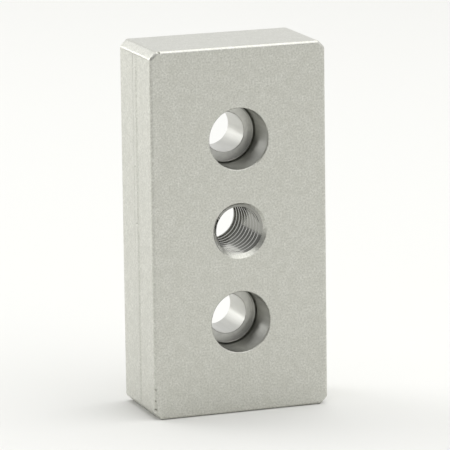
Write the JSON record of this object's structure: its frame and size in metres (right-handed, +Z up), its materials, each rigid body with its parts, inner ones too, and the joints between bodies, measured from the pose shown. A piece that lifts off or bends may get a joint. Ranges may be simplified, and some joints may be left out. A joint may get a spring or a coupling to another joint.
{
  "type": "mounting block",
  "caption": "Rectangular die-cast aluminium end plate for a slotted profile, with counterbored screw holes either side of a central M12 through thread.",
  "frame": {"origin": "on the central thread's axis, in the face that bears on the profile's end", "axes": "+Z up along the height, +Y out of the bearing face along the thickness, +X across the width; the counterbored face looks toward -Y"},
  "size_m": [0.04, 0.02, 0.08],
  "materials": {
    "blasted_aluminium": "die cast, blasted, natural silver grey"
  },
  "bodies": {
    "root": {"mounting_block": "blasted_aluminium"}
  },
  "joints": []
}
